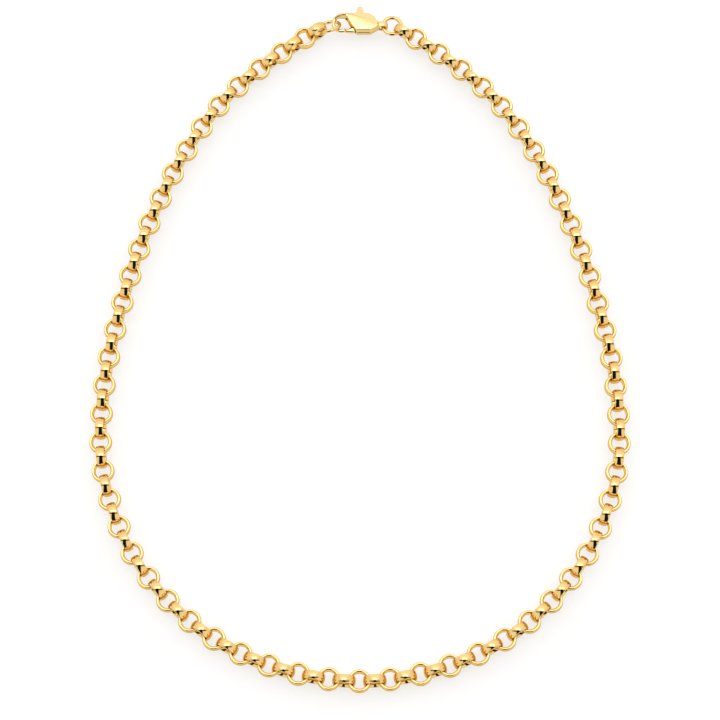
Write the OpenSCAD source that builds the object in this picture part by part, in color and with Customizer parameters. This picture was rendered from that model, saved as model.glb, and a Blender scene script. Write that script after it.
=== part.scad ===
// Rolo chain necklace, laid flat as a closed loop and fastened by a lobster clasp.
// Round links with a domed band stand and lie by turns along the loop. Sizes are in millimetres.
// The clasp lies at the back of the loop, towards +Y, and the loop rests on z = 0.

/* [Links] */
// Outside diameter of a link
link_d = 5.45; // [5:0.05:6.5]
// Wall of a link, at the middle of its band
link_wall = 0.86; // [0.7:0.02:0.94]
// Width of a link's band
band_w = 2; // [1.8:0.1:2.3]
// Radius of the band's domed outside, across its width
dome_r = 3; // [2.1:0.1:3.6]
// Radius of the band's crowned inside, across its width
crown_r = 1.55; // [1.3:0.05:1.65]
// Slack between two links drawn taut
link_slack = 0.17; // [0.16:0.01:0.25]

/* [Loop] */
// Width of the loop, between the middles of its outermost links
loop_w = 123; // [110:1:150]
// Length of the loop, from its lowest link to the middle of the clasp
loop_l = 166.7; // [150:0.1:200]
// Lean of the lowest links towards the inside of the loop, in degrees
lean_low = 5; // [0:1:10]
// Lean of the links at the loop's widest place, in degrees
lean_side = -4; // [-8:1:4]
// Lean of the links next to the clasp, in degrees
lean_top = 13; // [0:1:20]

/* [Rings] */
// Outside diameter of the jump ring
jump_d = 5.5; // [5:0.1:6.5]
// Wire of the jump ring
jump_wire = 0.95; // [0.7:0.05:1]
// Outside diameter of the ring that the hook holds
end_d = 6.4; // [6.4:0.1:6.5]
// Wire of the ring that the hook holds
end_wire = 0.85; // [0.8:0.05:0.85]
// Tilt of the ring that the hook holds, in degrees
end_tilt = 42; // [42:1:44]
// Lean of the link in that ring, in degrees
end_lean = -3; // [-8:1:-2]
// Slack between a ring and the link in it
ring_slack = 0.2; // [0.15:0.05:0.3]
// Gap between a ring and the bail or hook that holds it
ring_gap = 0.14; // [0.12:0.01:0.2]

/* [Clasp] */
// Length of the clasp's body, from the root of the hook to the neck
body_l = 8.2; // [7.5:0.1:10]
// Width of the clasp's body
body_w = 5; // [4.6:0.1:6]
// Thickness of the clasp's body
body_t = 3; // [2.6:0.1:3.6]
// Outside radius of the hook
hook_r = 2.5; // [2.45:0.05:2.5]
// Width of the hook's strand
hook_w = 0.9; // [0.7:0.05:0.95]
// Straight run of the hook, from the body to the middle of the eye
hook_run = 1; // [0.8:0.1:1.2]
// Height of the hook's strand at its root
root_h = 2.8; // [2.4:0.1:2.9]
// Height of the hook's strand beside the eye
side_h = 0.8; // [0.7:0.05:0.8]
// Height of the hook's strand at its tip
tip_h = 0.65; // [0.6:0.05:0.7]
// Depth of the bail that holds the jump ring
bail_h = 2.8; // [2.6:0.1:3]
// Width of the bail's strip
bail_w = 1.35; // [1:0.05:1.6]
// Thickness of the bail's strip
bail_t = 0.5; // [0.4:0.05:0.55]
// Reach of the bail beyond the body's neck
bail_reach = 2.6; // [2.4:0.1:3]

/* [Lever] */
// Thickness of the lever
lever_t = 1.1; // [0.8:0.05:1.3]
// Radius of the lever's hub
hub_r = 1.2; // [1:0.05:1.4]
// Width of the thumb tab
tab_w = 1.3; // [1:0.05:1.6]
// Reach of the thumb tab beyond the body
tab_reach = 2; // [1.5:0.1:2.6]
// Width of the gate at its tip
gate_w = 0.9; // [0.7:0.05:1]
// Place of the gate's tip beyond the middle of the hook's eye
gate_seat = 0.59; // [0.5:0.01:0.65]
// Radius of the pivot pin
pin_r = 0.4; // [0.3:0.05:0.6]
// Length of the pivot pin
pin_l = 2.2; // [1.8:0.1:2.4]
// Running clearance of the lever on its pin, and at the hook's tip
run_gap = 0.05; // [0.03:0.01:0.08]
// Clearance between the lever's faces and the body
side_gap = 0.1; // [0.08:0.01:0.15]
// How far the lever opens, in degrees
open_angle = 22; // [15:1:24]

/* [Hidden] */
$fn = 48;
gold = [0.93, 0.77, 0.44];
eps = 0.01;

// Half of the loop's middle line, from its lowest point up the right side to the link by the clasp:
// across as a share of half the width, and up as a share of the length.
route_half = [
    [0, 0], [0.343, 0.022], [0.641, 0.083], [0.871, 0.181], [0.992, 0.301], [0.998, 0.428],
    [0.938, 0.554], [0.841, 0.676], [0.693, 0.797], [0.496, 0.896]
];
low_y = -84.2;
mid_z = link_d / 2;
clasp_y = low_y + loop_l;

// Hole of a link, at the middle of its band and at the band's edge
hole_r = link_d / 2 - link_wall;
hole_edge_r = hole_r + crown_r - sqrt(crown_r * crown_r - band_w * band_w / 4);
// Longest step between two links, limited at the middle of the bands or at the edge of one
step_max = min(2 * hole_r, hole_edge_r + sqrt(hole_r * hole_r - band_w * band_w / 4)) - link_slack;

// Places on the clasp, from the middle of its body
root_x = -0.45 * body_l;
hook_x = root_x - hook_run;
hook_y = body_w / 2 - hook_r;
neck_x = root_x + body_l;
neck_y = -0.14 * body_w;
pivot = [0.9, -0.3];
gate_reach = pivot[0] - hook_x - gate_seat;
bail_r = bail_h / 2;
bail_end = neck_x + bail_reach;
bail_hole_r = bail_r - bail_t;

// Ring centres, seen from above
jump_r = (jump_d - jump_wire) / 2;
jump_in = jump_r - jump_wire / 2;
jump_c = [bail_end - bail_t - ring_gap + sqrt(jump_in * jump_in - bail_w * bail_w / 4), clasp_y + neck_y];
end_r = (end_d - end_wire) / 2;
end_axis = 16;
end_hold = end_r - end_wire / 2 - ring_gap;
// Place of the tilted ring's side in the hook's eye, from the middle of the eye
end_seat = [-0.99, -0.81, -0.09];
end_c = [hook_x + end_seat[0] - end_hold, clasp_y + hook_y + end_seat[1]];
end_z = mid_z + end_seat[2];
// Fall of the way from the jump ring to the first link, and from the end ring to the last one, in degrees
jump_fall = 30;
end_fall = 25.5;

// Way that the tilted ring takes from the step to its link
end_ease = 0.65;

// Steps from a ring's centre to the link in it
jump_step = jump_in + hole_r - ring_slack;
end_step = end_r + hole_r - end_wire / 2 - ring_slack - end_ease;

// Whole route, from the link in the jump ring down the right side and up to the link in the end ring
right_end = jump_c + jump_step * [cos(jump_fall), -sin(jump_fall)];
left_end = end_c - end_step * [cos(end_fall), sin(end_fall)];
half_n = len(route_half);
right_half = [for (p = route_half) [p[0] * loop_w / 2, low_y + p[1] * loop_l]];
knots = concat(
    [[0, clasp_y], right_end],
    [for (i = [half_n - 1:-1:0]) right_half[i]],
    [for (i = [1:half_n - 1]) [-right_half[i][0], right_half[i][1]]],
    [left_end, [0, clasp_y]]
);

// Smooth curve through the knots, and the way travelled to each of its points
fine = 24;
function spline(a, b, c, d, u) =
    (2 * b + (c - a) * u + (2 * a - 5 * b + 4 * c - d) * u * u + (3 * b - 3 * c + d - a) * u * u * u) / 2;
curve = [for (i = [1:len(knots) - 3], k = [0:fine - 1])
    spline(knots[i - 1], knots[i], knots[i + 1], knots[i + 2], k / fine), left_end];
way = [for (i = 0, s = 0; i < len(curve);
    s = s + (i + 1 < len(curve) ? norm(curve[i + 1] - curve[i]) : 0), i = i + 1) s];
route_len = way[len(way) - 1];

// Links share the route evenly, and both end links stand, so the number of steps is even
steps = 2 * ceil(route_len / step_max / 2);
step = route_len / steps;
bottom_link = steps / 2;

// Point of the route after a way s, and its heading in degrees
function cell(s) = max([for (i = 0; i < len(way) - 1 && way[i] <= s; i = i + 1) i]);
function at(s) = let (i = cell(min(s, route_len - eps)), u = (s - way[i]) / (way[i + 1] - way[i]))
    curve[i] + (curve[i + 1] - curve[i]) * u;
function heading(s) = let (d = at(min(s + step / 2, route_len)) - at(max(s - step / 2, 0))) atan2(d[1], d[0]);
// Lean of a link towards the inside, from the lowest link over the widest place to the clasp
wide_at = 0.4;
function lean(p) = let (t = (p[1] - low_y) / loop_l)
    t < wide_at ? lean_low + (lean_side - lean_low) * t / wide_at
    : lean_side + (lean_top - lean_side) * (t - wide_at) / (1 - wide_at);
// The last links turn by and by to the lean of the link in the tilted ring
roll_links = 8;
roll = end_lean - lean_top;
function link_roll(i, p) = lean(p) + roll * max(0, 1 - (steps - i) / roll_links);

// Outline with its corners rounded: each corner is [x, y, radius]
corner_n = 6;
function unit(v) = v / norm(v);
function corner(a, p, b) =
    let (q = [p[0], p[1]], u = unit([a[0], a[1]] - q), v = unit([b[0], b[1]] - q),
         half = acos(u * v) / 2, c = q + unit(u + v) * p[2] / sin(half),
         s = q + u * p[2] / tan(half) - c, e = q + v * p[2] / tan(half) - c,
         a0 = atan2(s[1], s[0]), turn = atan2(s[0] * e[1] - s[1] * e[0], s * e))
    [for (k = [0:corner_n]) c + p[2] * [cos(a0 + turn * k / corner_n), sin(a0 + turn * k / corner_n)]];
function rounded(p) = [for (i = [0:len(p) - 1], q = p[i][2] > 0
    ? corner(p[(i + len(p) - 1) % len(p)], p[i], p[(i + 1) % len(p)]) : [[p[i][0], p[i][1]]]) q];

// Section of a link's band: two domes meet at flat rims
module band_section() {
    intersection() {
        translate([link_d / 2 - dome_r, 0]) circle(r = dome_r);
        translate([hole_r + crown_r, 0]) circle(r = crown_r);
        translate([0, -band_w / 2]) square([link_d, band_w]);
    }
}

// One link: even ones stand on edge, odd ones lie
module link(i) {
    s = i * step;
    p = at(s);
    translate([p[0], p[1], mid_z])
        rotate([0, 0, heading(s)])
        rotate([link_roll(i, p) + (i % 2 == 0 ? 90 : 0), 0, 0])
        rotate_extrude() band_section();
}

module chain(first, last) {
    color(gold) for (i = [first:last]) link(i);
}

module wire_ring(r, wire) {
    rotate_extrude() translate([r, 0]) circle(d = wire);
}

module end_ring() {
    color(gold)
        translate([end_c[0], end_c[1], end_z])
        rotate([0, 0, end_axis])
        rotate([-end_tilt, 0, 0])
        wire_ring(end_r, end_wire);
}

module jump_ring() {
    color(gold) translate([jump_c[0], jump_c[1], mid_z]) wire_ring(jump_r, jump_wire);
}

// Body's outline, as shares of its length and width, with corner radii as shares of its width
body_shape = [
    [0, 0.5, 0], [0.7, 0.45, 0.25], [0.87, 0.3, 0.2], [1, -0.01, 0], [1, -0.27, 0],
    [0.76, -0.5, 0.12], [0.33, -0.5, 0.2], [0.17, -0.15, 0.5], [0.05, 0.25, 0.15], [0, 0.3, 0]
];
module body_outline() {
    polygon(rounded([for (p = body_shape) [root_x + p[0] * body_l, p[1] * body_w, p[2] * body_w]]));
}

// Directions from the pivot to the right side of the thumb tab and to the lower side of the gate
tab_side = 60;
gate_side = 227;

// Part of the plane between two directions from the pivot
module swing(from, to) {
    far = 2 * body_w;
    polygon([[0, 0], for (a = [from:(to - from) / 4:to]) far * [cos(a), sin(a)]]);
}

// Hook's strand in section, standing, with round top and bottom
module strand_section() {
    translate([0, root_h / 2 - hook_w / 2]) circle(d = hook_w);
    translate([0, hook_w / 2 - root_h / 2]) circle(d = hook_w);
    translate([-hook_w / 2, hook_w / 2 - root_h / 2]) square([hook_w, root_h - hook_w]);
}

// Height of the strand, from its root over the side of the eye to its tip
module hook_taper() {
    profile = [[hook_r + eps, root_h / 2], [hook_r * 0.4, side_h / 2], [-hook_r - eps, tip_h / 2]];
    low = [for (i = [2:-1:0]) [profile[i][0], -profile[i][1]]];
    rotate([90, 0, 90]) translate([0, 0, -2 * hook_r]) linear_extrude(4 * hook_r) polygon(concat(profile, low));
}

module hook() {
    // Straight run from the body to the top of the eye
    translate([hook_x, hook_y + hook_r - hook_w / 2, 0])
        rotate([90, 0, 90]) linear_extrude(root_x - hook_x + hook_w) strand_section();
    // Curved run round the eye to the mouth that the gate closes
    difference() {
        translate([hook_x, hook_y, 0]) intersection() {
            rotate_extrude() translate([hook_r - hook_w / 2, 0]) strand_section();
            hook_taper();
            translate([0, 0, -body_t]) linear_extrude(2 * body_t) polygon([
                [0, 2 * hook_r], [-2 * hook_r, 2 * hook_r], [-2 * hook_r, -2 * hook_r],
                [2 * hook_r, -2 * hook_r], [2 * hook_r, -hook_r / 2], [0, -hook_r / 2]
            ]);
        }
        translate([pivot[0], pivot[1], -body_t]) cylinder(r = gate_reach + 2 * run_gap, h = 2 * body_t);
    }
}

// Bail: a strip bent to an upright loop round the jump ring
module bail() {
    translate([0, neck_y + bail_w / 2, 0]) rotate([90, 0, 0]) linear_extrude(bail_w) difference() {
        union() {
            translate([bail_end - bail_r, 0]) circle(r = bail_r);
            translate([neck_x - bail_t, -bail_r]) square([bail_end - bail_r - neck_x + bail_t, bail_h]);
        }
        translate([bail_end - bail_r, 0]) circle(r = bail_hole_r);
        translate([neck_x + bail_t, -bail_hole_r])
            square([bail_end - bail_r - neck_x - bail_t, 2 * bail_hole_r]);
    }
}

module clasp_body() {
    color(gold) translate([0, clasp_y, mid_z]) {
        difference() {
            translate([0, 0, -body_t / 2]) linear_extrude(body_t) body_outline();
            // Slot between the two plates, for the lever and its swing
            translate([pivot[0], pivot[1], -lever_t / 2 - side_gap])
                linear_extrude(lever_t + 2 * side_gap) {
                    circle(r = hub_r + side_gap);
                    swing(tab_side - open_angle, gate_side);
                }
            translate([pivot[0], pivot[1], -pin_l / 2]) cylinder(r = pin_r, h = pin_l);
        }
        hook();
        bail();
    }
}

// Lever, from above and from its pivot: hub, thumb tab at the back, gate towards the hook
tab_x = -1.45;
tab_tip = [tab_x + 0.35, body_w / 2 - pivot[1] + tab_reach];
gate_y = hook_y - hook_r - pivot[1] + gate_w;
module lever_outline() {
    circle(r = hub_r);
    polygon(rounded([
        [-hub_r * 0.75, -hub_r * 0.3, 0], [hub_r * 0.6, hub_r * 0.3, 0],
        [tab_tip[0] + tab_w / 2, tab_tip[1], tab_w * 0.45], [tab_tip[0] - tab_w / 2, tab_tip[1], tab_w * 0.45],
        [tab_x - tab_w / 2, body_w / 2 - pivot[1], 0]
    ]));
    intersection() {
        polygon([
            [0, hub_r * 0.6], [-2 * gate_reach / 3, gate_y + gate_w * 0.1], [-gate_reach - 1, gate_y],
            [-gate_reach - 1, gate_y - gate_w], [-gate_reach / 2, gate_y - gate_w * 1.1], [0, 0]
        ]);
        circle(r = gate_reach);
    }
}

module clasp_lever() {
    color(gold) translate([pivot[0], clasp_y + pivot[1], mid_z - lever_t / 2]) difference() {
        linear_extrude(lever_t) lever_outline();
        translate([0, 0, -eps]) cylinder(r = pin_r + run_gap, h = lever_t + 2 * eps);
    }
}

module clasp_pin() {
    color(gold) translate([pivot[0], clasp_y + pivot[1], mid_z - pin_l / 2]) cylinder(r = pin_r, h = pin_l);
}

chain(bottom_link + 1, steps);  // chain_left
chain(0, bottom_link);  // chain_right
end_ring();
jump_ring();
clasp_body();
clasp_lever();
clasp_pin();
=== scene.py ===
"""A rolo chain necklace in polished gold, lying closed on a pale floor under soft studio light."""

import math

import bpy
from mathutils import Matrix, Vector


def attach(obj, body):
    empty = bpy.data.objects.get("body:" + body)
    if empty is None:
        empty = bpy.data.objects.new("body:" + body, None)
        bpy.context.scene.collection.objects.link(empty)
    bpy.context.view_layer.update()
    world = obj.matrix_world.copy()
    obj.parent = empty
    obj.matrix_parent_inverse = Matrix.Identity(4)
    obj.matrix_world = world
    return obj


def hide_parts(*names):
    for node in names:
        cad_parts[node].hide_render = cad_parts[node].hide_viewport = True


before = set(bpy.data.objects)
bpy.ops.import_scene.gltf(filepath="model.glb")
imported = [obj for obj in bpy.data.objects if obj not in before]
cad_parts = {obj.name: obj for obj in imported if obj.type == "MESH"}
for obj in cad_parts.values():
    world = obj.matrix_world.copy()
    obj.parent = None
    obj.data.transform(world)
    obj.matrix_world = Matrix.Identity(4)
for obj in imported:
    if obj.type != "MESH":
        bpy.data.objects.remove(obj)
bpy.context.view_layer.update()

# Sizes in millimetres and degrees, as in the part's source
MM = 0.001
LINK_D, LINK_WALL, BAND_W, DOME_R, CROWN_R, LINK_SLACK = 5.45, 0.86, 2.0, 3.0, 1.55, 0.17
LOOP_W, LOOP_L, LOW_Y = 123.0, 166.7, -84.2
LEAN_LOW, LEAN_SIDE, LEAN_TOP, WIDE_AT, ROLL_LINKS = 5.0, -4.0, 13.0, 0.4, 8
JUMP_D, JUMP_WIRE = 5.5, 0.95
END_D, END_WIRE, END_TILT, END_AXIS, END_LEAN, END_EASE = 6.4, 0.85, 42.0, 16.0, -3.0, 0.65
RING_SLACK, RING_GAP = 0.2, 0.14
BODY_L, BODY_W, BODY_T = 8.2, 5.0, 3.0
HOOK_R, HOOK_W, HOOK_RUN, ROOT_H, SIDE_H, TIP_H = 2.5, 0.9, 1.0, 2.8, 0.8, 0.65
BAIL_H, BAIL_W, BAIL_T, BAIL_REACH = 2.8, 1.35, 0.5, 2.6
LEVER_T, HUB_R, TAB_W, TAB_REACH, GATE_W, GATE_SEAT = 1.1, 1.2, 1.3, 2.0, 0.9, 0.59
PIN_R, RUN_GAP, SIDE_GAP, OPEN_ANGLE = 0.4, 0.05, 0.1, 22.0
TAB_X = -1.45

# Sizes that only the scene has: extra wall and rims of the links, the clasp's edges, its thumb tab's tip
BAND_EXTRA, RIM = 0.08, 0.12
EDGE_R, PIN_SEAT, PIN_PLAY = 0.26, 1.12, 0.005
TAB_LEAN, TIP_W = 0.57, 1.05

MID_Z = LINK_D / 2
CLASP_Y = LOW_Y + LOOP_L

# Half of the loop's middle line: across as a share of half its width, up as a share of its length
ROUTE_HALF = [
    (0, 0), (0.343, 0.022), (0.641, 0.083), (0.871, 0.181), (0.992, 0.301), (0.998, 0.428),
    (0.938, 0.554), (0.841, 0.676), (0.693, 0.797), (0.496, 0.896),
]

# Places on the clasp, from the middle of its body
ROOT_X = -0.45 * BODY_L
HOOK_X = ROOT_X - HOOK_RUN
HOOK_Y = BODY_W / 2 - HOOK_R
NECK_X = ROOT_X + BODY_L
NECK_Y = -0.14 * BODY_W
PIVOT = (0.9, -0.3)
GATE_REACH = PIVOT[0] - HOOK_X - GATE_SEAT
BAIL_R = BAIL_H / 2
BAIL_END = NECK_X + BAIL_REACH

# Ring centres
JUMP_R = (JUMP_D - JUMP_WIRE) / 2
JUMP_IN = JUMP_R - JUMP_WIRE / 2
JUMP_C = (BAIL_END - BAIL_T - RING_GAP + math.sqrt(JUMP_IN ** 2 - BAIL_W ** 2 / 4), CLASP_Y + NECK_Y)
END_R = (END_D - END_WIRE) / 2
END_HOLD = END_R - END_WIRE / 2 - RING_GAP
END_SEAT = (-0.99, -0.81, -0.09)
END_C = (HOOK_X + END_SEAT[0] - END_HOLD, CLASP_Y + HOOK_Y + END_SEAT[1])
END_Z = MID_Z + END_SEAT[2]
JUMP_FALL, END_FALL = math.radians(30), math.radians(25.5)
HOLE_R = LINK_D / 2 - LINK_WALL


# Meshes

def lathe_grid(rings, closed_path=True):
    """Points of each ring, and the quads between neighbouring rings. An open path gets a cap at each end."""
    n, m = len(rings), len(rings[0])
    points = [p for ring in rings for p in ring]
    faces = []
    for i in range(n if closed_path else n - 1):
        a, b = i * m, (i + 1) % n * m
        for j in range(m):
            k = (j + 1) % m
            faces.append((a + j, a + k, b + k, b + j))
    if not closed_path:
        faces.append(tuple(reversed(range(m))))
        faces.append(tuple(range((n - 1) * m, n * m)))
    return points, faces


def mesh_object(name, points, faces, normals=None):
    """A smooth object from points in millimetres, with its own normals where they are given."""
    mesh = bpy.data.meshes.new(name)
    mesh.from_pydata([Vector(p) * MM for p in points], [], faces)
    mesh.polygons.foreach_set("use_smooth", [True] * len(mesh.polygons))
    mesh.update()
    if normals:
        mesh.normals_split_custom_set_from_vertices(normals)
    obj = bpy.data.objects.new(name, mesh)
    bpy.context.scene.collection.objects.link(obj)
    return obj


def facing_out(points, faces):
    """Turns the faces of a closed shell to face outwards."""
    volume = 0.0
    for f in faces:
        a = Vector(points[f[0]])
        for j in range(1, len(f) - 1):
            volume += a.dot(Vector(points[f[j]]).cross(Vector(points[f[j + 1]])))
    return faces if volume > 0 else [tuple(reversed(f)) for f in faces]


# The chain's route

def route():
    """Points of the loop's middle line from the jump ring round to the end ring, with the way to each."""
    jump_step = JUMP_IN + HOLE_R - RING_SLACK
    end_step = END_R + HOLE_R - END_WIRE / 2 - RING_SLACK - END_EASE
    right = Vector((JUMP_C[0] + jump_step * math.cos(JUMP_FALL), JUMP_C[1] - jump_step * math.sin(JUMP_FALL)))
    left = Vector((END_C[0] - end_step * math.cos(END_FALL), END_C[1] - end_step * math.sin(END_FALL)))
    half = [Vector((x * LOOP_W / 2, LOW_Y + y * LOOP_L)) for x, y in ROUTE_HALF]
    top = Vector((0, CLASP_Y))
    knots = [top, right] + half[::-1] + [Vector((-p.x, p.y)) for p in half[1:]] + [left, top]
    fine, curve = 24, []
    for i in range(1, len(knots) - 2):
        a, b, c, d = knots[i - 1:i + 3]
        for k in range(fine):
            u = k / fine
            curve.append((2 * b + (c - a) * u + (2 * a - 5 * b + 4 * c - d) * u * u
                          + (3 * b - 3 * c + d - a) * u ** 3) / 2)
    curve.append(left)
    way = [0.0]
    for p, q in zip(curve, curve[1:]):
        way.append(way[-1] + (q - p).length)
    return curve, way


def link_places():
    """Centre, heading and roll of each link, in millimetres and radians."""
    curve, way = route()

    def at(s):
        s = min(max(s, 0.0), way[-1] - 0.01)
        i = max(k for k in range(len(way) - 1) if way[k] <= s)
        return curve[i].lerp(curve[i + 1], (s - way[i]) / (way[i + 1] - way[i]))

    h = BAND_W / 2
    edge_r = HOLE_R + CROWN_R - math.sqrt(CROWN_R ** 2 - h * h)
    step_max = min(2 * HOLE_R, edge_r + math.sqrt(HOLE_R ** 2 - h * h)) - LINK_SLACK
    steps = 2 * math.ceil(way[-1] / step_max / 2)
    step = way[-1] / steps
    places = []
    for i in range(steps + 1):
        s = i * step
        p, d = at(s), at(s + step / 2) - at(s - step / 2)
        up = (p.y - LOW_Y) / LOOP_L
        if up < WIDE_AT:
            lean = LEAN_LOW + (LEAN_SIDE - LEAN_LOW) * up / WIDE_AT
        else:
            lean = LEAN_SIDE + (LEAN_TOP - LEAN_SIDE) * (up - WIDE_AT) / (1 - WIDE_AT)
        lean += (END_LEAN - LEAN_TOP) * max(0.0, 1 - (steps - i) / ROLL_LINKS)
        places.append((p, math.atan2(d.y, d.x), math.radians(lean + (90 if i % 2 == 0 else 0))))
    return places


def band_section():
    """Points and normals round a link's band in section, as (radius, width), with rounded rims."""
    h = BAND_W / 2 - RIM
    dome_c, crown_c = LINK_D / 2 - DOME_R, HOLE_R - BAND_EXTRA + CROWN_R
    a0, b0 = math.asin(h / DOME_R), math.asin(h / CROWN_R)
    outer = [(dome_c + DOME_R * math.cos(a), DOME_R * math.sin(a), math.cos(a), math.sin(a))
             for a in (a0 * k / 4 for k in range(-4, 5))]
    inner = [(crown_c - CROWN_R * math.cos(b), CROWN_R * math.sin(b), -math.cos(b), math.sin(b))
             for b in (b0 * k / 4 for k in range(4, -5, -1))]
    middle, reach = (outer[-1][0] + inner[0][0]) / 2, (outer[-1][0] - inner[0][0]) / 2
    rim = []
    for a in (math.pi * k / 6 for k in range(1, 6)):
        normal = Vector((math.cos(a) / reach, math.sin(a) / RIM)).normalized()
        rim.append((middle + reach * math.cos(a), h + RIM * math.sin(a), normal.x, normal.y))
    return outer + rim + inner + [(x, -y, nx, -ny) for x, y, nx, ny in reversed(rim)]


def chain(name, places):
    """One body of links, each turned from the same section."""
    section, around = band_section(), 54
    points, faces, normals = [], [], []
    for centre, heading, roll in places:
        turn = Matrix.Rotation(heading, 3, "Z") @ Matrix.Rotation(roll, 3, "X")
        base = len(points)
        for k in range(around):
            a = 2 * math.pi * k / around
            c, s = math.cos(a), math.sin(a)
            for r, w, nr, nw in section:
                points.append(turn @ Vector((r * c, r * s, w)) + Vector((centre.x, centre.y, MID_Z)))
                normals.append(turn @ Vector((nr * c, nr * s, nw)))
        m = len(section)
        for i in range(around):
            p, q = base + i * m, base + (i + 1) % around * m
            faces += [(p + j, q + j, q + (j + 1) % m, p + (j + 1) % m) for j in range(m)]
    return mesh_object(name, points, faces, normals)


def wire_ring(name, centre, radius, wire, turn):
    """A round ring of round wire."""
    rings = []
    for k in range(96):
        a = 2 * math.pi * k / 96
        out = Vector((math.cos(a), math.sin(a), 0))
        ring = []
        for j in range(28):
            b = 2 * math.pi * j / 28
            point = out * (radius + wire / 2 * math.cos(b)) + Vector((0, 0, wire / 2 * math.sin(b)))
            ring.append(turn @ point + centre)
        rings.append(ring)
    points, faces = lathe_grid(rings)
    return mesh_object(name, points, facing_out(points, faces))


# The clasp

def rounded(corners, per_corner=8):
    """Outline with its corners rounded: each corner is x, y, radius."""
    out = []
    n = len(corners)
    for i, (x, y, r) in enumerate(corners):
        p = Vector((x, y))
        if r <= 0:
            out.append(p)
            continue
        u = (Vector(corners[i - 1][:2]) - p).normalized()
        v = (Vector(corners[(i + 1) % n][:2]) - p).normalized()
        half = u.angle(v) / 2
        c = p + (u + v).normalized() * r / math.sin(half)
        s, e = p + u * r / math.tan(half) - c, p + v * r / math.tan(half) - c
        a0 = math.atan2(s.y, s.x)
        turn = math.atan2(s.x * e.y - s.y * e.x, s.dot(e))
        out += [c + Vector((math.cos(a0 + turn * k / per_corner), math.sin(a0 + turn * k / per_corner))) * r
                for k in range(per_corner + 1)]
    return out


def circle(radius, count):
    """Outline of a circle."""
    turns = (2 * math.pi * k / count for k in range(count))
    return [Vector((math.cos(a), math.sin(a))) * radius for a in turns]


def even(outline, count):
    """The same closed outline with evenly spaced points."""
    n = len(outline)
    way = [0.0]
    for i in range(n):
        way.append(way[-1] + (outline[(i + 1) % n] - outline[i]).length)
    out, j = [], 0
    for k in range(count):
        s = way[-1] * k / count
        while way[j + 1] < s:
            j += 1
        out.append(outline[j].lerp(outline[(j + 1) % n], (s - way[j]) / (way[j + 1] - way[j])))
    return out


def inset(outline, d):
    """The outline, counterclockwise or not, moved inwards by d."""
    n = len(outline)
    area = sum(outline[i - 1].x * outline[i].y - outline[i].x * outline[i - 1].y for i in range(n))
    side = 1 if area > 0 else -1
    out = []
    for i in range(n):
        t = (outline[(i + 1) % n] - outline[i - 1]).normalized()
        out.append(outline[i] + Vector((-t.y, t.x)) * d * side)
    return out


def plate(name, outline, profile, origin):
    """A plate with that outline: the profile gives its inset at each height, and both ends are closed."""
    rings = [[Vector((p.x, p.y, z)) + origin for p in inset(outline, d)] for d, z in profile]
    points, faces = lathe_grid(rings, closed_path=False)
    return mesh_object(name, points, facing_out(points, faces))


def round_edge(half, r, n=5):
    """Profile of a plate's side with round edges, from its underside to its top."""
    angles = (math.pi / 2 * k / n for k in range(n + 1))
    arc = [(r - r * math.sin(a), half - r + r * math.cos(a)) for a in angles]
    return [(d, -z) for d, z in arc] + [(d, z) for d, z in reversed(arc)]


def tube(name, path, width, heights, square):
    """A strand along a path in the horizontal plane, with its own height at each point."""
    n = len(path)
    rings = []
    for i, p in enumerate(path):
        a = path[i - 1] if i else p
        b = path[i + 1] if i < n - 1 else p
        t = (b - a).normalized()
        side = Vector((-t.y, t.x, 0))
        ring = []
        for k in range(24):
            q = 2 * math.pi * k / 24
            c, s = math.cos(q), math.sin(q)
            e = 1 - square
            u = math.copysign(abs(c) ** e, c) * width / 2
            w = math.copysign(abs(s) ** e, s) * heights[i] / 2
            ring.append(p + side * u + Vector((0, 0, w)))
        rings.append(ring)
    points, faces = lathe_grid(rings, closed_path=False)
    return mesh_object(name, points, facing_out(points, faces))


def boolean(obj, other, kind):
    """Applies a boolean with the other object, which is then removed."""
    mod = obj.modifiers.new(kind, "BOOLEAN")
    mod.operation, mod.solver, mod.object = kind, "EXACT", other
    dg = bpy.context.evaluated_depsgraph_get()
    mesh = bpy.data.meshes.new_from_object(obj.evaluated_get(dg))
    obj.modifiers.clear()
    obj.data = mesh
    bpy.data.objects.remove(other)


def smooth_by_angle(obj, degrees):
    """Smooth shading, with the edges sharper than this left sharp."""
    obj.data.polygons.foreach_set("use_smooth", [True] * len(obj.data.polygons))
    obj.data.set_sharp_from_angle(angle=math.radians(degrees))
    return obj


def interp(x, xs, ys):
    """Straight-line interpolation in a short table with rising xs."""
    if x <= xs[0]:
        return ys[0]
    for a, b, p, q in zip(xs, xs[1:], ys, ys[1:]):
        if x <= b:
            return p + (q - p) * (x - a) / (b - a)
    return ys[-1]


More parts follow.
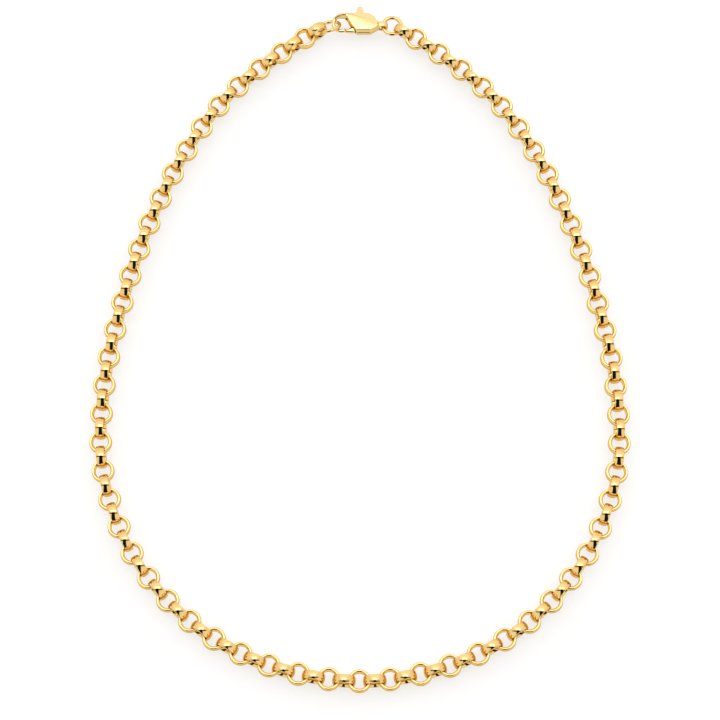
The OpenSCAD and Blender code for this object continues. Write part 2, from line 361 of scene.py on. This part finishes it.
def clasp_body():
    """The body with its slot, its hook and its bail."""
    origin = Vector((0, CLASP_Y, MID_Z))
    shape = [
        (0, 0.47, 0.02), (0.7, 0.45, 0.25), (0.87, 0.3, 0.2), (1, -0.01, 0), (1, -0.27, 0),
        (0.76, -0.5, 0.12), (0.33, -0.5, 0.2), (0.17, -0.15, 0.5), (0.05, 0.25, 0.15), (0, 0.3, 0),
    ]
    corners = [(ROOT_X + x * BODY_L, y * BODY_W, r * BODY_W) for x, y, r in shape]
    outline = even(rounded(corners), 150)
    half = BODY_T / 2
    side = round_edge(half, EDGE_R, 6)
    mid = len(side) // 2
    groove = [(0, -0.16), (0.1, -0.06), (0.1, 0.06), (0, 0.16)]
    profile = side[:mid] + groove + side[mid:]
    body = plate("clasp_body_metal", outline, profile, origin)
    # Slot for the lever
    far = 2 * BODY_W
    a0, a1 = math.radians(60 - OPEN_ANGLE), math.radians(227)
    turns = (a0 + (a1 - a0) * k / 12 for k in range(13))
    wedge = [Vector((0, 0))] + [Vector((math.cos(a), math.sin(a))) * far for a in turns]
    height = LEVER_T / 2 + SIDE_GAP
    place = origin + Vector((PIVOT[0], PIVOT[1], 0))
    room = [(0, -height), (0, height)]
    boolean(body, plate("slot", wedge, room, place), "DIFFERENCE")
    boolean(body, plate("hub", circle(HUB_R + SIDE_GAP, 48), room, place), "DIFFERENCE")
    seat = [(0, -PIN_SEAT), (0, PIN_SEAT)]
    boolean(body, plate("pin", circle(PIN_R + PIN_PLAY, 32), seat, place), "DIFFERENCE")
    # Hook
    r = HOOK_R - HOOK_W / 2
    start = Vector((HOOK_X, HOOK_Y))
    path = [Vector((ROOT_X + 0.55 - k * 0.2, HOOK_Y + r)) for k in range(8)]
    heights = [ROOT_H - 0.2] * len(path)
    angle = 90.0
    while True:
        p = start + Vector((math.cos(math.radians(angle)), math.sin(math.radians(angle)))) * r
        if angle > 200 and (p - Vector(PIVOT)).length < GATE_REACH + 2 * RUN_GAP + 0.02:
            break
        path.append(p)
        heights.append(interp(angle, [90, 150, 250], [ROOT_H - 0.3, SIDE_H, TIP_H]))
        angle += 4
    hook = tube("hook", [Vector((p.x, p.y, 0)) + origin for p in path], HOOK_W, heights, square=0.12)
    boolean(body, hook, "UNION")
    # Bail
    ring = []
    cx = BAIL_END - BAIL_R
    rr = BAIL_R - BAIL_T / 2
    for k in range(25):
        a = math.radians(-90 + 180 * k / 24)
        ring.append(Vector((cx + rr * math.cos(a), 0, rr * math.sin(a))))
    left = NECK_X + 0.15
    for k in range(1, 4):
        ring.append(Vector((cx + (left + 0.3 - cx) * k / 3, 0, rr)))
    for k in range(1, 5):
        a = math.radians(90 + 90 * k / 4)
        ring.append(Vector((left + 0.3 + 0.3 * math.cos(a), 0, rr - 0.3 + 0.3 * math.sin(a))))
    for k in range(4):
        a = math.radians(180 + 90 * k / 4)
        ring.append(Vector((left + 0.3 + 0.3 * math.cos(a), 0, -rr + 0.3 + 0.3 * math.sin(a))))
    for k in range(3):
        ring.append(Vector((left + 0.3 + (cx - left - 0.3) * k / 3, 0, -rr)))
    n = len(ring)
    rings = []
    for i, p in enumerate(ring):
        t = (ring[(i + 1) % n] - ring[i - 1]).normalized()
        out = Vector((t.z, 0, -t.x))
        sec = []
        for k in range(20):
            q = 2 * math.pi * k / 20
            c, s = math.cos(q), math.sin(q)
            u = math.copysign(abs(c) ** 0.5, c) * BAIL_T / 2
            w = math.copysign(abs(s) ** 0.3, s) * BAIL_W / 2
            sec.append(origin + p + out * u + Vector((0, NECK_Y + w, 0)))
        rings.append(sec)
    points, faces = lathe_grid(rings)
    bail = mesh_object("bail", points, facing_out(points, faces))
    boolean(body, bail, "UNION")
    return smooth_by_angle(body, 38)


def clasp_lever():
    """The lever with its hub, thumb tab and gate."""
    origin = Vector((PIVOT[0], CLASP_Y + PIVOT[1], MID_Z))
    back = BODY_W / 2 - PIVOT[1]
    tip_x, tip_y = TAB_X + TAB_LEAN, back + TAB_REACH
    gate_y = HOOK_Y - HOOK_R - PIVOT[1] + GATE_W
    half = LEVER_T / 2
    edge = round_edge(half, 0.2, 4)
    lever = plate("clasp_lever_metal", circle(HUB_R, 64), edge, origin)
    tab = rounded([
        (-HUB_R * 0.75, -HUB_R * 0.3, 0), (HUB_R * 0.6, HUB_R * 0.3, 0),
        (tip_x + TIP_W / 2, tip_y, TIP_W * 0.45), (tip_x - TIP_W / 2, tip_y, TIP_W * 0.45),
        (TAB_X - TAB_W / 2 + 0.15, back, 0.4),
    ])
    boolean(lever, plate("tab", even(tab, 80), round_edge(half - 0.01, 0.42, 6), origin), "UNION")
    lower = gate_y - GATE_W
    gate = rounded([
        (0, HUB_R * 0.6, 0), (-2 * GATE_REACH / 3, gate_y + GATE_W * 0.1, 0),
        (-GATE_REACH + 0.11, gate_y, 0.05), (-GATE_REACH + 0.45, lower, 0.05),
        (-GATE_REACH / 2, gate_y - GATE_W * 1.1, 0), (0, 0, 0),
    ])
    boolean(lever, plate("gate", even(gate, 90), round_edge(half - 0.015, 0.3, 5), origin), "UNION")
    through = [(0, -half - 0.1), (0, half + 0.1)]
    boolean(lever, plate("bore", circle(PIN_R + RUN_GAP, 32), through, origin), "DIFFERENCE")
    return smooth_by_angle(lever, 40)


# Materials

def gold(name, colour, roughness, scale=1.0):
    """Polished gold with a faint cast ripple, hairline scratches and slightly worn tone."""
    mat = bpy.data.materials.new(name)
    mat.use_nodes = True
    nt = mat.node_tree
    nodes, links = nt.nodes, nt.links
    bsdf = nodes["Principled BSDF"]
    bsdf.inputs["Metallic"].default_value = 1.0
    bsdf.inputs["Specular Tint"].default_value = (*[c ** 0.8 * 0.8 for c in colour], 1)
    coord = nodes.new("ShaderNodeTexCoord")

    tone = nodes.new("ShaderNodeTexNoise")
    tone.inputs["Scale"].default_value = 900 * scale
    tone.inputs["Detail"].default_value = 3
    links.new(coord.outputs["Object"], tone.inputs["Vector"])
    ramp = nodes.new("ShaderNodeValToRGB")
    ramp.color_ramp.elements[0].position, ramp.color_ramp.elements[1].position = 0.3, 0.75
    ramp.color_ramp.elements[0].color = (*[c * 0.94 for c in colour], 1)
    ramp.color_ramp.elements[1].color = (*[min(1.0, c * 1.03) for c in colour], 1)
    links.new(tone.outputs["Fac"], ramp.inputs["Fac"])
    links.new(ramp.outputs["Color"], bsdf.inputs["Base Color"])

    stretch = nodes.new("ShaderNodeMapping")
    stretch.inputs["Scale"].default_value = (1, 0.12, 0.5)
    stretch.inputs["Rotation"].default_value = (0.3, 0.2, 0.9)
    links.new(coord.outputs["Object"], stretch.inputs["Vector"])
    hair = nodes.new("ShaderNodeTexNoise")
    hair.inputs["Scale"].default_value = 9000 * scale
    hair.inputs["Detail"].default_value = 2
    links.new(stretch.outputs["Vector"], hair.inputs["Vector"])
    rough = nodes.new("ShaderNodeMapRange")
    rough.inputs["From Min"].default_value, rough.inputs["From Max"].default_value = 0.35, 0.75
    rough.inputs["To Min"].default_value, rough.inputs["To Max"].default_value = roughness, roughness + 0.07
    links.new(hair.outputs["Fac"], rough.inputs["Value"])
    links.new(rough.outputs["Result"], bsdf.inputs["Roughness"])

    ripple = nodes.new("ShaderNodeTexNoise")
    ripple.inputs["Scale"].default_value = 700 * scale
    ripple.inputs["Detail"].default_value = 1
    links.new(coord.outputs["Object"], ripple.inputs["Vector"])
    bump = nodes.new("ShaderNodeBump")
    bump.inputs["Strength"].default_value = 0.25
    bump.inputs["Distance"].default_value = 0.00002
    links.new(ripple.outputs["Fac"], bump.inputs["Height"])
    links.new(bump.outputs["Normal"], bsdf.inputs["Normal"])
    return mat


def floor_material():
    """Pale paper with a very faint mottle."""
    mat = bpy.data.materials.new("floor_paper")
    mat.use_nodes = True
    nodes, links = mat.node_tree.nodes, mat.node_tree.links
    bsdf = nodes["Principled BSDF"]
    bsdf.inputs["Roughness"].default_value = 0.9
    bsdf.inputs["Specular IOR Level"].default_value = 0.1
    noise = nodes.new("ShaderNodeTexNoise")
    noise.inputs["Scale"].default_value = 60
    ramp = nodes.new("ShaderNodeValToRGB")
    ramp.color_ramp.elements[0].color = (0.3, 0.3, 0.3, 1)
    ramp.color_ramp.elements[1].color = (0.32, 0.32, 0.32, 1)
    links.new(noise.outputs["Fac"], ramp.inputs["Fac"])
    links.new(ramp.outputs["Color"], bsdf.inputs["Base Color"])
    # The paper glows a little, which keeps its shadows faint
    bsdf.inputs["Emission Color"].default_value = (1, 0.995, 0.985, 1)
    bsdf.inputs["Emission Strength"].default_value = 0.66
    return mat


def dress(obj, mat, body, slot, *nodes):
    """Gives a piece its material and its body, and hides the CAD nodes that it stands for."""
    obj.data.materials.clear()
    obj.data.materials.append(mat)
    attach(obj, body)
    if nodes:
        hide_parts(*nodes)
    return obj


# The camera, as the photograph was taken: a long lens, leaning 17.2 degrees from straight down
cam = bpy.data.objects.new("camera", bpy.data.cameras.new("camera"))
bpy.context.scene.collection.objects.link(cam)
cam.data.lens, cam.data.sensor_width = 110, 36
cam.location = Vector((0, -163.45, 506.6 + MID_Z)) * MM
cam.rotation_euler = (math.radians(17.2), 0, 0)
cam.data.clip_start, cam.data.clip_end = 0.01, 20
bpy.context.scene.camera = cam

# The pieces
chain_gold = gold("chain_gold", (0.89, 0.62, 0.25), 0.05)
clasp_gold = gold("clasp_gold", (0.91, 0.67, 0.31), 0.09, 1.3)
ring_gold = gold("ring_gold", (0.89, 0.62, 0.26), 0.07)

places = link_places()
middle = len(places) // 2
dress(chain("chain_right_links", places[:middle + 1]), chain_gold, "necklace", "chain", "chain_right")
dress(chain("chain_left_links", places[middle + 1:]), chain_gold, "necklace", "chain", "chain_left")
tilt = Matrix.Rotation(math.radians(END_AXIS), 3, "Z") @ Matrix.Rotation(math.radians(-END_TILT), 3, "X")
dress(wire_ring("end_ring_wire", Vector((*END_C, END_Z)), END_R, END_WIRE, tilt),
      ring_gold, "necklace", "rings", "end_ring")
dress(wire_ring("jump_ring_wire", Vector((*JUMP_C, MID_Z)), JUMP_R, JUMP_WIRE, Matrix.Identity(3)),
      ring_gold, "necklace", "rings", "jump_ring")
dress(clasp_body(), clasp_gold, "necklace", "clasp", "clasp_body")
dress(clasp_lever(), clasp_gold, "lever", "clasp", "clasp_lever")
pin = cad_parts["clasp_pin"]
pin.data.materials.clear()
pin.data.materials.append(clasp_gold)

# The floor
bpy.ops.mesh.primitive_plane_add(size=6, location=(0, 0, 0))
floor = bpy.context.object
floor.name = "floor"
floor.data.materials.append(floor_material())


def studio():
    """Light from all round, with a bright strip overhead and a dark gap in front of it."""
    world = bpy.data.worlds.new("studio")
    bpy.context.scene.world = world
    world.use_nodes = True
    nt = world.node_tree
    nodes, links = nt.nodes, nt.links
    nodes.clear()

    def math_node(op, a, b=None):
        node = nodes.new("ShaderNodeMath")
        node.operation = op
        for k, v in enumerate((a, b)):
            if v is None:
                continue
            if isinstance(v, (int, float)):
                node.inputs[k].default_value = v
            else:
                links.new(v, node.inputs[k])
        return node.outputs[0]

    def spread(value, a, b, c=0.0, d=1.0, kind="SMOOTHSTEP"):
        """Goes from c at a to d at b."""
        if a > b:
            a, b, c, d = b, a, d, c
        node = nodes.new("ShaderNodeMapRange")
        node.interpolation_type = kind
        node.inputs["From Min"].default_value, node.inputs["From Max"].default_value = a, b
        node.inputs["To Min"].default_value, node.inputs["To Max"].default_value = c, d
        links.new(value, node.inputs["Value"])
        return node.outputs["Result"]

    def every(*masks):
        out = masks[0]
        for m in masks[1:]:
            out = math_node("MULTIPLY", out, m)
        return out

    coord = nodes.new("ShaderNodeTexCoord")
    split = nodes.new("ShaderNodeSeparateXYZ")
    links.new(coord.outputs["Generated"], split.inputs[0])
    x, y, z = split.outputs
    # Degrees from the zenith towards +Y, and degrees sideways
    fore = math_node("MULTIPLY", math_node("ARCTAN2", y, z), 180 / math.pi)
    across = math_node("MULTIPLY", math_node("ARCSINE", math_node("ABSOLUTE", x)), 180 / math.pi)

    # The gap widens downwards
    width = math_node("ADD", spread(fore, 4, -12, 8, 15, "LINEAR"), spread(fore, -12, -88, 0, 2, "LINEAR"))
    inside = spread(math_node("SUBTRACT", across, width), 2.5, -2.5)
    gap = every(inside, spread(fore, 4, 1))
    bar = every(spread(fore, -1, -5), spread(fore, -16, -14), spread(across, 60, 44))
    strip = every(spread(fore, 1, 5), spread(fore, 28, 10), spread(across, 30, 12))
    panel = every(spread(fore, 8, 18), spread(fore, 62, 50), spread(across, 50, 30))
    bright = math_node("ADD", math_node("MULTIPLY", strip, 2.2), math_node("MULTIPLY", panel, 0.2))
    level = math_node("ADD", 1.0, bright)
    for mask, depth in ((bar, 0.94), (gap, 0.99)):
        level = math_node("MULTIPLY", level, math_node("SUBTRACT", 1.0, math_node("MULTIPLY", mask, depth)))

    def light(colour, strength):
        node = nodes.new("ShaderNodeBackground")
        node.inputs["Color"].default_value = (*colour, 1)
        if isinstance(strength, (int, float)):
            node.inputs["Strength"].default_value = strength
        else:
            links.new(strength, node.inputs["Strength"])
        return node.outputs[0]

    path = nodes.new("ShaderNodeLightPath")
    shader = light((1, 0.995, 0.985), level)
    soft = spread(fore, -60, 50, 0.3, 2.1)
    plain_light = {"Is Diffuse Ray": light((1, 0.995, 0.99), soft), "Is Camera Ray": light((1, 1, 1), 1.0)}
    for ray, plain in plain_light.items():
        mix = nodes.new("ShaderNodeMixShader")
        links.new(path.outputs[ray], mix.inputs["Fac"])
        links.new(shader, mix.inputs[1])
        links.new(plain, mix.inputs[2])
        shader = mix.outputs[0]
    out = nodes.new("ShaderNodeOutputWorld")
    links.new(shader, out.inputs["Surface"])


studio()
scene = bpy.context.scene
scene.view_settings.view_transform = "Standard"
scene.view_settings.look = "None"
scene.view_settings.exposure = 0
scene.view_settings.gamma = 1
